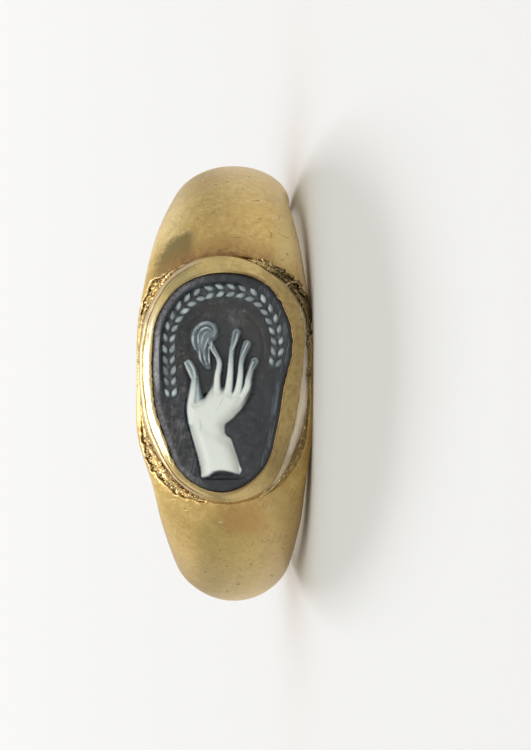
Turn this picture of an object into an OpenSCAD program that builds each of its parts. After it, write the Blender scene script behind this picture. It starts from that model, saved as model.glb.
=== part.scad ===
// Finger ring of heavy gold, lying on its side as it rests by itself.
// A broad hoop swells into raised shoulders. Between them an oval collar is soldered
// into a sunken seat, and the collar holds a layered stone carved in relief with a
// hand that pinches an ear, under an arch of leaves.
//
// Everything is drawn in the ring's own directions: x runs along the hoop, -y is the
// way the bezel faces, and z is the axis of the finger. A rise is a height over the
// surface of the finger hole, taken towards the bezel. at_rest() lays the ring down.

/* [Finger hole] */
// Radius of the finger hole
finger_r = 9.1; // [8.5:0.1:10]
// Bevel that takes the edge off both rims of the finger hole
rim_bevel = 0.2; // [0.1:0.05:0.3]

/* [Hoop] */
// Sections round the hoop
hoop_sections = 72; // [48:12:96]
// Facets across the hoop's rounded back
crown_facets = 10; // [6:2:16]

/* [Bezel] */
// Rise of the collar's lip, where it is pressed against the stone
lip_rise = 3.35; // [3.2:0.05:3.5]
// Rise of the collar's outer edge
edge_rise = 3.05; // [2.8:0.05:3.15]
// Width of the rounded lip beside the stone
lip_w = 0.22; // [0.1:0.02:0.3]
// Rise of the floor of the sunken seat round the collar
seat_rise = 1.95; // [1.7:0.05:2.1]
// Height over the finger hole at which the collar's foot ends inside the hoop
foot_rise = 0.9; // [0.6:0.1:1.2]
// Height of the solder that beads up against the collar
solder_h = 0.42; // [0.2:0.02:0.6]

/* [Stone] */
// Rise of the pocket's floor under the stone
bed_rise = 1.15; // [0.9:0.05:1.5]
// Gap between the stone and the gold all round
stone_gap = 0.03; // [0.02:0.01:0.08]
// Rise of the rim that is left standing round the carving
rim_rise = 3.2; // [3.1:0.02:3.3]
// Rise of the dark field inside that rim
field_rise = 2.98; // [2.8:0.02:3.05]
// Depth of the hollow that is sunk in the field behind the fingers
hollow_depth = 0.2; // [0:0.02:0.3]

/* [Leaf arch] */
// Pairs of leaves along the whole arch, an even number
leaf_pairs = 22; // [12:2:22]
// Length of a leaf
leaf_l = 0.54; // [0.4:0.02:0.56]
// Width of a leaf
leaf_w = 0.26; // [0.2:0.02:0.3]
// Distance of the arch from the stone's edge
arch_inset = 0.88; // [0.7:0.02:1]

/* [Hidden] */

gold = "#c4a45e";
onyx = "#33363c";

// Sections of the hoop. The angle is counted from the bezel. Crown and wall are rises
// of the rounded back and of the straight side. The two half widths are those of the
// upper and the lower arm, and the lower arm leans sideways as it leaves the bezel.
// angle, crown, wall, upper half width, lower half width, lean of the lower arm
HOOP = [
    [0, 2.5, 2.0, 4.55, 4.55, 0],
    [15, 2.8, 2.1, 4.52, 4.52, 0],
    [28, 3.85, 2.45, 4.12, 3.97, 0.18],
    [38, 3.88, 2.4, 3.78, 3.67, 0.22],
    [48, 3.52, 1.95, 3.45, 3.37, 0.2],
    [60, 3.0, 1.35, 3.15, 3.1, 0.14],
    [75, 2.58, 0.75, 3.0, 2.85, 0.06],
    [90, 2.4, 0.4, 2.9, 2.5, 0],
    [120, 2.0, 0.32, 2.5, 2.35, 0],
    [150, 1.7, 0.28, 2.15, 2.15, 0],
    [180, 1.6, 0.26, 1.95, 1.95, 0],
];

// Radii of the oval bezel at even steps, from the upper end (+x) round past +z. The
// flare is how far the collar's wall spreads below its edge.
// stone, edge of the collar, flare, edge of the sunken seat
OVAL = [
    [5.45, 6.35, 0.1, 6.35],
    [5.3, 6.1, 0.12, 6.3],
    [4.7, 5.3, 0.15, 5.85],
    [3.95, 4.65, 0.12, 4.75],
    [3.65, 4.35, 0.04, 4.44],
    [3.8, 4.5, 0.1, 4.65],
    [4.25, 5.0, 0.15, 5.5],
    [5.35, 5.85, 0.15, 6.25],
    [5.8, 6.35, 0.12, 6.35],
    [5.1, 6.0, 0.25, 6.25],
    [3.8, 4.75, 0.4, 5.6],
    [3.2, 4.1, 0.38, 4.7],
    [3.15, 4.0, 0.3, 4.42],
    [3.8, 4.5, 0.2, 4.8],
    [4.6, 5.45, 0.15, 5.95],
    [5.35, 6.0, 0.1, 6.25],
];
STONE = 0;
EDGE = 1;
FLARE = 2;
SEAT = 3;

// Forearm and palm, from the cut end to the roots of the fingers.
// x, z of the thumb's side, z of the other side, rise
PALM = [
    [-4.95, 1.16, -0.8, 3.5],
    [-4.3, 1.28, -0.84, 3.56],
    [-3.8, 1.4, -0.66, 3.56],
    [-3.3, 1.54, -0.46, 3.52],
    [-2.9, 1.66, -0.15, 3.46],
    [-2.45, 1.78, -0.06, 3.5],
    [-2.05, 1.86, -0.44, 3.62],
    [-1.6, 1.9, -0.88, 3.72],
    [-1.2, 1.84, -1.12, 3.74],
    [-0.85, 1.1, -1.28, 3.68],
    [-0.45, 0.72, -1.42, 3.58],
    [-0.15, 0.55, -1.4, 3.48],
];

// Fingers and thumb as rounded ridges.
// x, z, half width, rise
FINGERS = [
    [[-0.5, 0.42, 0.2, 3.56], [0.3, 0.31, 0.2, 3.48], [0.95, 0.28, 0.19, 3.42],
     [1.45, 0.44, 0.18, 3.4], [1.9, 0.54, 0.15, 3.34]],
    [[-0.5, -0.12, 0.22, 3.58], [0.5, -0.34, 0.2, 3.5], [1.2, -0.36, 0.16, 3.42],
     [1.85, -0.46, 0.16, 3.4], [2.42, -0.62, 0.19, 3.4]],
    [[-0.5, -0.68, 0.22, 3.56], [0.3, -0.88, 0.19, 3.48], [0.9, -0.93, 0.15, 3.42],
     [1.45, -1.06, 0.18, 3.4], [1.86, -1.24, 0.2, 3.38]],
    [[-0.6, -1.2, 0.2, 3.52], [0.15, -1.34, 0.18, 3.44], [0.62, -1.48, 0.17, 3.4],
     [0.98, -1.64, 0.17, 3.36]],
    [[-1.5, 1.66, 0.24, 3.6], [-0.6, 1.57, 0.2, 3.5], [0.02, 1.49, 0.17, 3.42],
     [0.4, 1.55, 0.15, 3.38], [0.86, 1.86, 0.16, 3.34]],
];

// The ear: its rolled rim, the inner fold, the fold that runs down and the lobe.
EAR = [
    [[1.5, 1.42, 0.11, 3.2], [2.05, 1.5, 0.12, 3.24], [2.5, 1.34, 0.13, 3.27],
     [2.78, 0.98, 0.13, 3.28], [2.68, 0.56, 0.13, 3.27], [2.36, 0.5, 0.12, 3.22],
     [2.08, 0.68, 0.1, 3.14]],
    [[2.28, 1.16, 0.09, 3.14], [2.5, 0.94, 0.09, 3.15], [2.42, 0.74, 0.08, 3.1]],
    [[2.05, 1.26, 0.1, 3.14], [1.6, 1.2, 0.12, 3.16], [1.1, 1.05, 0.14, 3.2],
     [0.85, 0.82, 0.15, 3.22]],
    [[1.9, 0.86, 0.1, 3.1], [1.35, 0.72, 0.12, 3.14], [0.85, 0.82, 0.15, 3.22]],
    [[1.1, 1.3, 0.12, 3.16], [0.72, 1.12, 0.14, 3.2]],
];

oval_steps = 64;
relief_facets = 10;
root_rise = field_rise - hollow_depth - 0.25;
arch_from = -72;
arch_to = 104;
arch_top = 14;
leaf_turn = 25;
leaf_aside = 0.21;
leaf_h = 0.17;
leaf_root = 0.3;
rest_angle = 15;
rim_r = finger_r + rim_bevel;
rim_depth = 0.8;
far = 30;
// How much the flat sides draw in for each millimetre towards the finger hole. It is also
// the slope at which the ring lies, so the bezel's side lies flat.
side_draw = (half_w(rest_angle) - half_w(180)) / (wall_r(rest_angle) * cos(rest_angle) + wall_r(180));

// Smooth value of a column of a table whose rows begin with rising angles
function slope(t, c, k) =
    k <= 0 || k >= len(t) - 1 ? 0 : (t[k + 1][c] - t[k - 1][c]) / (t[k + 1][0] - t[k - 1][0]);
function row_before(t, v, k = 0) = k < len(t) - 2 && v > t[k + 1][0] ? row_before(t, v, k + 1) : k;
function along(t, c, v) =
    let (
        k = row_before(t, v),
        span = t[k + 1][0] - t[k][0],
        s = (v - t[k][0]) / span
    )
    (2 * s * s * s - 3 * s * s + 1) * t[k][c] + (s * s * s - 2 * s * s + s) * span * slope(t, c, k)
    + (3 * s * s - 2 * s * s * s) * t[k + 1][c] + (s * s * s - s * s) * span * slope(t, c, k + 1);

// Smooth value of a column of the oval's table at any angle
function oval(c, a) =
    let (
        n = len(OVAL),
        q = (a + 720) * n / 360,
        i = floor(q),
        s = q - i,
        v = [for (j = [-1:2]) OVAL[(i + j) % n][c]]
    )
    (2 * v[1] + (v[2] - v[0]) * s + (2 * v[0] - 5 * v[1] + 4 * v[2] - v[3]) * s * s
     + (3 * v[1] - v[0] - 3 * v[2] + v[3]) * s * s * s) / 2;

function oval_angles() = [for (i = [0:oval_steps - 1]) i * 360 / oval_steps];

// A place over the bezel: angle and radius in the oval's plane, and rise
function over(a, r, rise) = [r * cos(a), -finger_r - rise, r * sin(a)];

// Rise, at x, of a surface that is curved with the hoop at a height over the finger hole
function rise_at(x, height) = sqrt(pow(finger_r + height, 2) - x * x) - finger_r;

// Closed skin through rings of points, capped at both ends or joined end to end
module skin(rings, joined = false) {
    n = len(rings[0]);
    m = len(rings);
    sides = [
        for (i = [0:joined ? m - 1 : m - 2], j = [0:n - 1])
            let (p = i * n, q = (i + 1) % m * n, k = (j + 1) % n)
            each [[p + j, q + k, p + k], [p + j, q + j, q + k]]
    ];
    caps = joined ? [] : [[for (j = [0:n - 1]) j], [for (j = [n - 1:-1:0]) (m - 1) * n + j]];
    polyhedron(points = [for (r = rings) each r], faces = concat(sides, caps));
}

function half_w(a) = along(HOOP, a >= 0 ? 3 : 4, abs(a));
function wall_r(a) = finger_r + along(HOOP, 2, abs(a));
function lean(a) = a >= 0 ? 0 : along(HOOP, 5, -a);

// Section of the hoop as radius and z, wider than the finger hole that is cut later
function hoop_section(a) =
    let (
        w = half_w(a),
        wall = wall_r(a),
        crown = finger_r + along(HOOP, 1, abs(a)),
        bevel = [rim_r, w - (wall - rim_r) * side_draw],
        inner = bevel - [rim_depth, rim_depth]
    )
    concat(
        [[inner[0], -inner[1]], [bevel[0], -bevel[1]]],
        [for (i = [0:crown_facets])
            let (t = -90 + i * 180 / crown_facets) [wall + (crown - wall) * cos(t), w * sin(t)]],
        [bevel, inner]
    );

module hoop() {
    skin([
        for (i = [0:hoop_sections - 1])
            let (a = 180 - i * 360 / hoop_sections)
            [for (p = hoop_section(a)) [p[0] * sin(a), -p[0] * cos(a), p[1] - lean(a)]]
    ], joined = true);
}

module finger_hole() {
    cylinder(r = finger_r, h = far, center = true, $fn = 128);
}

// A straight block over the oval, from a rise upwards
module oval_block(c, grow, rise) {
    rotate([90, 0, 0])
        translate([0, 0, finger_r + rise])
            linear_extrude(height = far - rise)
                polygon([for (a = oval_angles())
                    let (r = oval(c, a) + grow) [r * cos(a), -r * sin(a)]]);
}

// The sunken seat that the collar stands in, its floor curved with the hoop. The gold
// under the stone is left for the pocket's flat floor.
module seat_cut() {
    difference() {
        oval_block(SEAT, 0, 0);
        oval_block(STONE, -0.15, -1);
        cylinder(r = finger_r + seat_rise, h = far, center = true, $fn = 96);
    }
}

module collar() {
    skin([
        for (a = oval_angles())
            let (inner = oval(STONE, a) - 0.3, edge = oval(EDGE, a), outer = edge + oval(FLARE, a),
                 lip = oval(STONE, a) + lip_w, foot = rise_at(outer * cos(a), foot_rise))
            [over(a, inner, foot), over(a, inner, lip_rise - 0.04), over(a, lip, lip_rise),
             over(a, edge - 0.06, edge_rise + 0.02), over(a, edge, edge_rise - 0.06),
             over(a, outer, seat_rise), over(a, outer, foot)]
    ], joined = true);
}

// Solder that ran round the collar's foot and set unevenly
module solder() {
    skin([
        for (a = oval_angles())
            let (
                r = oval(EDGE, a) + oval(FLARE, a),
                h = solder_h * (0.6 + 0.25 * sin(7 * a) + 0.15 * sin(16 * a)),
                w = 0.02 + max(0, oval(SEAT, a) - r) * (0.55 + 0.15 * sin(11 * a))
            )
            [over(a, r - 0.3, seat_rise - 0.5), over(a, r - 0.3, seat_rise + h * 0.5),
             over(a, r - 0.02, seat_rise + h), over(a, r + w * 0.6, seat_rise + h * 0.6),
             over(a, r + w, seat_rise - 0.5)]
    ], joined = true);
}

module hoop_and_bezel() {
    color(gold)
        difference() {
            union() {
                difference() {
                    hoop();
                    seat_cut();
                }
                collar();
                solder();
            }
            finger_hole();
            oval_block(STONE, stone_gap, bed_rise);
        }
}

// The stone's own body: a standing rim, the field inside it and the sunken hollow
module stone() {
    levels = [
        // inset from the edge, rise, share of the hollow's depth
        [0, bed_rise + stone_gap, 0],
        [0, rim_rise - 0.12, 0],
        [0.12, rim_rise, 0],
        [0.28, rim_rise - 0.03, 0],
        [0.46, field_rise, 0],
        [1.3, field_rise, 0],
        [1.5, field_rise, 0.8],
        [2.2, field_rise, 1],
    ];
    skin([
        for (l = levels)
            [for (a = oval_angles())
                over(a, oval(STONE, a) - l[0], l[1] - l[2] * hollow_depth)]
    ]);
}

module post(p) {
    translate([p[0], -finger_r - p[3] + p[2], p[1]]) {
        sphere(r = p[2], $fn = relief_facets);
        rotate([-90, 0, 0])
            cylinder(r = p[2], h = p[3] - p[2] - root_rise, $fn = relief_facets);
    }
}

module ridge(path) {
    for (i = [0:len(path) - 2])
        hull() {
            post(path[i]);
            post(path[i + 1]);
        }
}

module palm() {
    skin([
        for (p = PALM)
            let (mid = (p[1] + p[2]) / 2, w = (p[1] - p[2]) / 2, h = p[3] - field_rise + 0.08)
            concat(
                [[p[0], -finger_r - root_rise, mid - w], [p[0], -finger_r - root_rise, mid + w]],
                [for (t = [0:20:180])
                    [p[0], -finger_r - field_rise + 0.08 - h * pow(sin(t), 0.6), mid + w * cos(t)]]
            )
    ]);
}

module hand() {
    palm();
    for (f = FINGERS) ridge(f);
}

module ear() {
    for (e = EAR) ridge(e);
}

// A leaf lies flat with its tip towards +x and a raised rib along its middle
module leaf() {
    // place along the leaf, share of the width, share of the rib's height
    cuts = [[-0.5, 0.12, 0.1], [-0.22, 0.82, 0.8], [0.06, 1, 1], [0.3, 0.68, 0.75], [0.5, 0.06, 0.1]];
    skin([
        for (c = cuts)
            let (x = c[0] * leaf_l, w = c[1] * leaf_w / 2, h = c[2] * leaf_h)
            [[x, leaf_root, w], [x, -0.35 * h, w], [x, -h, 0], [x, -0.35 * h, -w], [x, leaf_root, -w]]
    ]);
}

function arch_point(a) = over(a, oval(STONE, a) - arch_inset, field_rise);

// Two boughs of paired leaves that rise from the lower ends and meet at the top
module leaf_arch() {
    step = (arch_to - arch_from) / leaf_pairs;
    for (i = [0:leaf_pairs], side = [-1, 1]) {
        a = arch_from + i * step;
        way = a < arch_top ? 1 : -1;
        d = arch_point(a + 1) - arch_point(a - 1);
        translate(arch_point(a))
            rotate([0, atan2(-d[2] * way, d[0] * way), 0])
                translate([0, 0, -side * leaf_aside])
                    rotate([0, side * leaf_turn, 0]) leaf();
    }
}

module cameo() {
    color(onyx) {
        stone();
        leaf_arch();
        ear();
    }
    color("white") hand();
}

// Lays the ring on its side: it touches along the bezel's flat side and at the back
module at_rest() {
    tilt = atan(side_draw);
    lift = half_w(rest_angle) * cos(tilt) - wall_r(rest_angle) * cos(rest_angle) * sin(tilt);
    translate([0, lift * tan(tilt), lift]) rotate([-tilt, 0, 0]) children();
}

at_rest() hoop_and_bezel();
at_rest() cameo();
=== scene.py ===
"""A heavy gold finger ring with a carved layered stone, lying on its side on a pale floor.

Lengths inside this script are millimetres in the ring's own directions: x runs along the
hoop, -y is the way the bezel faces and z is the axis of the finger. laid() turns them into
the frame's metres. A rise is a height over the surface of the finger hole.
"""

import math
from functools import reduce

import bpy
import numpy as np
from mathutils import Matrix, Vector, noise


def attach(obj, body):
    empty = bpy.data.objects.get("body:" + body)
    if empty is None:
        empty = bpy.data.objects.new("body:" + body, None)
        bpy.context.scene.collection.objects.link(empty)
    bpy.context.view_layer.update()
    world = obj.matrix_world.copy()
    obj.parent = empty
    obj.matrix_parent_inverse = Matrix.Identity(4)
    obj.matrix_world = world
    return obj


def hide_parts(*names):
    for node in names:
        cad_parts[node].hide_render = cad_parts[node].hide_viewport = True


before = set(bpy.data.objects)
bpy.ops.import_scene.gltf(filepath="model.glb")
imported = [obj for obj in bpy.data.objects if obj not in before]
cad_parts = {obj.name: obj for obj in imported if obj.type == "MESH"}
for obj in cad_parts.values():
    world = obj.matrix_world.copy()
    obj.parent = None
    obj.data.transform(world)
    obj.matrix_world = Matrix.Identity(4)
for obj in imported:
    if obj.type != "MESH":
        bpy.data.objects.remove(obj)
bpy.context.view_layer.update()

MM = 0.001
FINGER_R = 9.1
RIM_BEVEL = 0.2
RIM_R = FINGER_R + RIM_BEVEL

SEAT_RISE = 1.95
BED_RISE = 1.15
EDGE_RISE = 3.05
LIP_RISE = 3.35
STONE_GAP = 0.03

RIM_RISE = 3.2
FIELD_RISE = 2.98
BEVEL_WIDE = 0.36
HOLLOW = 0.2

# Points between two of an outline's or a path's, and the length of a hairline
OUTLINE_STEPS = 4
PATH_STEPS = 5
HAIR_LENGTH = 1 / 0.7


def listed(text):
    """A table from its numbers, with a comma between two rows."""
    return [[float(number) for number in row.split()] for row in text.split(",")]


# Sections of the hoop: angle from the bezel, rises of the back and of the straight side,
# half widths of the upper and the lower arm, and how far the lower arm leans aside.
HOOP = listed("""
    0 2.5 2 4.55 4.55 0, 15 2.8 2.1 4.52 4.52 0, 28 3.85 2.45 4.12 3.97 0.18,
    38 3.88 2.4 3.78 3.67 0.22, 48 3.52 1.95 3.45 3.37 0.2, 60 3 1.35 3.15 3.1 0.14,
    75 2.58 0.75 3 2.85 0.06, 90 2.4 0.4 2.9 2.5 0, 120 2 0.32 2.5 2.35 0,
    150 1.7 0.28 2.15 2.15 0, 180 1.6 0.26 1.95 1.95 0
""")
CROWN, WALL, UPPER, LOWER, LEAN = 1, 2, 3, 4, 5

# Radii round the oval at even steps from the upper end (+x) past +z: the stone, the
# collar's edge, the spread of its foot and the edge of the sunken seat.
OVAL = listed("""
    5.45 6.35 0.1 6.35, 5.3 6.1 0.12 6.3, 4.7 5.3 0.15 5.9, 3.95 4.65 0.12 4.68,
    3.65 4.35 0.04 4.44, 3.8 4.5 0.1 4.65, 4.25 5 0.15 5.72, 5.35 5.85 0.15 6.4,
    5.8 6.35 0.12 6.35, 5.1 6 0.16 6.25, 3.8 4.75 0.42 5.6, 3.2 4.1 0.5 4.7, 3.15 4 0.36 4.42,
    3.8 4.5 0.16 4.8, 4.6 5.45 0.1 6.1, 5.35 6 0.08 6.42
""")
STONE, EDGE, FLARE, SEAT = 0, 1, 2, 3

# Outline of the forearm and palm: x, z
PALM_EDGE = listed("""
    -1 1.81, -1.45 1.91, -1.9 1.89, -2.31 1.82, -2.83 1.68, -3.28 1.55, -3.8 1.4, -4.31 1.27,
    -4.8 1.18, -5.06 1.14, -5.04 0.78, -4.83 0.47, -4.76 0.13, -4.81 -0.29, -4.92 -0.72,
    -4.88 -0.86, -4.66 -0.94, -4.42 -0.84, -3.97 -0.7, -3.56 -0.56, -3.18 -0.43, -3.02 -0.34,
    -2.92 -0.19, -2.76 -0.08, -2.48 -0.06, -2.3 -0.13, -2.07 -0.43, -1.79 -0.7, -1.55 -0.91,
    -1.21 -1.12, -0.86 -1.29, -0.52 -1.43, -0.48 -1.2, -0.67 -0.96, -0.4 -0.72, -0.55 -0.48,
    -0.25 -0.2, -0.41 0.13, -0.1 0.35, -0.05 0.5, -0.44 0.7, -0.8 0.92, -1.08 1.14, -1.22 1.4,
    -1.16 1.6
""")
# How high the forearm and palm stand: x, rise
PALM_RISE = listed("""
    -5.1 3.46, -4.6 3.55, -3.6 3.58, -2.95 3.48, -2.5 3.52, -2 3.64, -1.4 3.74, -0.9 3.7,
    -0.4 3.58, 0 3.48
""")
# Fingers and thumb as rounded ridges from the palm to the tips: x, z, half width, rise
FINGERS = [listed(path) for path in """
    -1.1 0.28 0.24 3.54, -0.5 0.34 0.2 3.56, 0.17 0.32 0.17 3.5, 0.81 0.22 0.15 3.43,
    1.27 0.38 0.13 3.37, 1.72 0.6 0.13 3.3, 1.95 0.74 0.12 3.24;
    -1.2 -0.14 0.24 3.56, -0.5 -0.26 0.22 3.58, 0.17 -0.33 0.18 3.52, 0.81 -0.37 0.16 3.46,
    1.46 -0.42 0.15 3.4, 2 -0.56 0.2 3.38, 2.4 -0.66 0.24 3.36;
    -1.2 -0.5 0.24 3.55, -0.54 -0.75 0.2 3.56, 0.17 -0.86 0.17 3.49, 0.81 -0.9 0.15 3.42,
    1.33 -1.02 0.19 3.38, 1.82 -1.2 0.24 3.34;
    -1.3 -0.7 0.2 3.5, -0.5 -1.18 0.2 3.53, 0 -1.28 0.18 3.46, 0.5 -1.42 0.18 3.4,
    0.93 -1.6 0.23 3.32;
    -2.2 1.6 0.24 3.5, -1.44 1.68 0.22 3.57, -0.6 1.58 0.19 3.48, 0.04 1.52 0.16 3.4,
    0.43 1.58 0.18 3.36, 0.82 1.82 0.2 3.3
""".split(";")]
# The body of the ear: x, z
EAR_BODY = listed("""
    1.85 1.64, 2.36 1.68, 2.78 1.48, 3 0.93, 2.88 0.42, 2.49 0.26, 2.1 0.33, 1.8 0.66,
    1.46 0.72, 1.14 0.68, 0.54 0.64, 0.54 0.98, 1 1.2, 1.46 1.46
""")
# The ear's folds: the rolled rim, two inner folds, two that run down and the right edge:
# x, z, half width, rise
EAR = [listed(path) for path in """
    1.55 1.46 0.06 3.22, 1.9 1.57 0.09 3.3, 2.25 1.57 0.1 3.34, 2.6 1.42 0.11 3.37,
    2.84 1.14 0.11 3.38, 2.9 0.82 0.11 3.37, 2.74 0.52 0.11 3.35, 2.44 0.42 0.1 3.32,
    2.2 0.5 0.07 3.26;
    1.85 1.32 0.05 3.22, 2.3 1.3 0.07 3.28, 2.58 1.1 0.08 3.3, 2.66 0.84 0.08 3.3,
    2.54 0.64 0.06 3.27;
    1.8 1.1 0.05 3.2, 2.15 1.08 0.07 3.26, 2.38 0.94 0.08 3.28, 2.42 0.76 0.06 3.25;
    2.2 0.74 0.05 3.22, 1.9 0.88 0.07 3.27, 1.5 0.98 0.07 3.27, 1.1 0.98 0.08 3.28,
    0.75 0.88 0.07 3.25;
    1.6 1.26 0.05 3.22, 1.3 1.24 0.07 3.26, 1 1.18 0.08 3.28, 0.75 1.04 0.06 3.24;
    1.95 0.62 0.05 3.24, 1.6 0.74 0.06 3.25, 1.2 0.76 0.06 3.25, 0.8 0.74 0.05 3.22
""".split(";")]
# The thin web between thumb and palm: x, z, half width, rise
WEB = listed("""
    0.3 1.42 0.1 3.16, -0.2 1.4 0.16 3.26, -0.7 1.38 0.24 3.34, -1.2 1.34 0.34 3.42
""")
# Thin sharp ridges on fingertips with painted highlights: x, z, half width, rise
GLINTS = [listed(path) for path in """
    2.34 -0.74 0.05 3.42, 1.95 -0.64 0.07 3.46, 1.5 -0.47 0.06 3.46;
    1.9 -1.28 0.05 3.4, 1.6 -1.13 0.07 3.44, 1.2 -0.98 0.05 3.44;
    0.9 -1.54 0.05 3.38, 0.6 -1.42 0.06 3.42, 0.2 -1.3 0.05 3.44;
    0.84 1.98 0.07 3.34, 0.45 1.8 0.09 3.41, 0.05 1.62 0.08 3.45;
    0.86 1.76 0.06 3.34, 0.5 1.55 0.08 3.4, 0.1 1.45 0.08 3.41;
    1.9 0.62 0.05 3.34, 1.5 0.6 0.06 3.38, 1.1 0.32 0.06 3.46
""".split(";")]
# The hollow that is sunk behind the fingers: x, z
HOLLOW_EDGE = listed("""
    -1.12 2.01, -0.6 1.96, 0.32 2.06, 1.46 2.22, 2.5 2.33, 3.37 1.86, 3.79 1.09, 3.93 -0.05,
    3.74 -0.77, 3.17 -1.48, 2.5 -1.96, 1.55 -2.15, 0.84 -2.1, -0.6 -2.2, -2.4 -2.3, -4 -1.6,
    -4.4 0.2, -3.6 1.9, -2.2 2.2
""")

# Both boughs of the leaf arch, from their lower ends to the top
BOUGHS = [(104, 16.5), (-72, 9.5)]
ARCH_INSET = 0.86
LEAF_STEP = 0.535
LEAF_LONG = 0.6
LEAF_WIDE = 0.3
LEAF_HIGH = 0.17
LEAF_ASIDE = 0.215
LEAF_TURN = 25

# The thin torn edge that crosses the crack on the upper right: x, z, half width and a rise
# of 0, because it follows the channel's floor
TEAR = listed("""
    4.9 -3.22 0.12 0, 5.04 -3.52 0.12 0, 5 -3.8 0.12 0, 4.72 -4.02 0.1 0, 4.36 -4.14 0.1 0
""")

# Grains stay this near to the oval's long axis, inside the hoop's sides
GRAIN_LIMIT = 4.1

# The ring touches the floor at this angle to both sides of the bezel, and at the back. Its
# flat sides draw in towards the finger hole by the slope at which it lies. LIFT and SHIFT
# take the ring's middle up from the floor and along y.
REST_ANGLE = 15
REST_FRONT = (FINGER_R + HOOP[1][WALL]) * math.cos(math.radians(REST_ANGLE))
SIDE_DRAW = (HOOP[1][UPPER] - HOOP[-1][UPPER]) / (REST_FRONT + FINGER_R + HOOP[-1][WALL])
TILT = math.atan(SIDE_DRAW)
TILT_COS, TILT_SIN = math.cos(TILT), math.sin(TILT)
LIFT = HOOP[1][UPPER] * TILT_COS - REST_FRONT * TILT_SIN
SHIFT = LIFT * math.tan(TILT)


def turned(directions):
    """Directions of the ring, one to a row, in the frame's directions."""
    x, y, z = np.reshape(directions, (-1, 3)).T
    return np.column_stack([x, y * TILT_COS + z * TILT_SIN, z * TILT_COS - y * TILT_SIN])


def laid(points):
    """Ring millimetres in the frame's metres, lying on its side."""
    return MM * (turned(points) + (0, SHIFT, LIFT))


def ease(value, low, high):
    """0 below low, 1 above high and smooth between them."""
    s = np.clip((value - low) / (high - low), 0, 1)
    return s * s * (3 - 2 * s)


def mix(a, b, share):
    return a + (b - a) * share


def bell(value, width):
    """1 at 0, falling to both sides over a width."""
    return np.exp(-((value / width) ** 2))


def spline(a, b, c, d, s):
    """A point between b and c on the smooth curve through all four."""
    return (2 * b + (c - a) * s + (2 * a - 5 * b + 4 * c - d) * s**2
            + (3 * b - a - 3 * c + d) * s**3) / 2


def along(table, column, value):
    """A smooth value from a column of a table whose rows begin with rising numbers."""
    rows = np.array(table, float)
    at, height = rows[:, 0], rows[:, column]
    slope = np.zeros(len(at))
    slope[1:-1] = (height[2:] - height[:-2]) / (at[2:] - at[:-2])
    k = np.clip(np.searchsorted(at, value, side="left") - 1, 0, len(at) - 2)
    span = at[k + 1] - at[k]
    s = np.clip((value - at[k]) / span, 0, 1)
    start = (2 * s**3 - 3 * s**2 + 1) * height[k] + (s**3 - 2 * s**2 + s) * span * slope[k]
    end = (3 * s**2 - 2 * s**3) * height[k + 1] + (s**3 - s**2) * span * slope[k + 1]
    return start + end


def oval(column, degrees):
    """A smooth radius from a column of the oval's table at any angle."""
    radii = np.array(OVAL)[:, column]
    n = len(radii)
    q = np.asarray(degrees, float) % 360 * n / 360
    i = np.floor(q).astype(int)
    return spline(*(radii[(i + j) % n] for j in (-1, 0, 1, 2)), q - i)


def collar_foot(degrees):
    """The radius of the collar's foot."""
    return oval(EDGE, degrees) + oval(FLARE, degrees)


def around(r, y, a):
    """Points at a radius and a height, at the angles of the oval."""
    r, y, a = np.broadcast_arrays(r, y, a)
    return np.stack([r * np.cos(a), y, r * np.sin(a)], -1)


def lumps(points, size, layers=1, seed=0.0):
    """Smooth noise about 0 whose lumps are of the given size."""
    shift = Vector((seed, 1.7 * seed, -seed))
    flat = np.asarray(points, float).reshape(-1, 3) / size
    found = [noise.fractal(Vector(p) + shift, 1.0, 2.0, layers) for p in flat]
    return np.array(found).reshape(np.shape(points)[:-1])


def grit(points, size, seed=0.0):
    """Rounded grains packed side by side, from 0 between them to 1 on top."""
    shift = Vector((seed, -seed, 0.6 * seed))
    flat = np.asarray(points, float).reshape(-1, 3) / size
    near = np.array([noise.voronoi(Vector(p) + shift)[0][0] for p in flat])
    return np.sqrt(np.clip(1 - (near / 0.7) ** 2, 0, 1)).reshape(np.shape(points)[:-1])


def in_sector(degrees, middle, reach, soft=12):
    """1 within reach of an angle of the oval, fading out over soft degrees."""
    off = np.abs((np.asarray(degrees) - middle + 180) % 360 - 180)
    return 1 - ease(off, reach - soft / 2, reach + soft / 2)


def woven(rows, columns, rows_joined, columns_joined):
    """Quads over a grid of points, joined end to end where asked."""
    i = np.arange(rows if rows_joined else rows - 1)[:, None]
    j = np.arange(columns if columns_joined else columns - 1)
    i2, j2 = (i + 1) % rows, (j + 1) % columns
    corners = [i * columns + j, i2 * columns + j, i2 * columns + j2, i * columns + j2]
    return np.stack(corners, -1).reshape(-1, 4).tolist()


def meshed(name, points, edges, faces):
    """A new mesh."""
    mesh = bpy.data.meshes.new(name)
    mesh.from_pydata(np.reshape(points, (-1, 3)).tolist(), edges, faces)
    return mesh


def linked(name, data):
    """A new object in the scene."""
    made = bpy.data.objects.new(name, data)
    bpy.context.scene.collection.objects.link(made)
    return made


def spots_of(mesh):
    """Where its vertices are, one to a row."""
    spots = np.zeros(len(mesh.vertices) * 3)
    mesh.vertices.foreach_get("co", spots)
    return spots.reshape(-1, 3)


def turn_outwards(mesh):
    """Flips a closed mesh whose faces look inwards."""
    mesh.calc_loop_triangles()
    corners = np.zeros(len(mesh.loop_triangles) * 3, int)
    mesh.loop_triangles.foreach_get("vertices", corners)
    a, b, c = spots_of(mesh)[corners.reshape(-1, 3)].transpose(1, 0, 2)
    if (np.cross(a, b) * c).sum() < 0:
        mesh.flip_normals()


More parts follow.
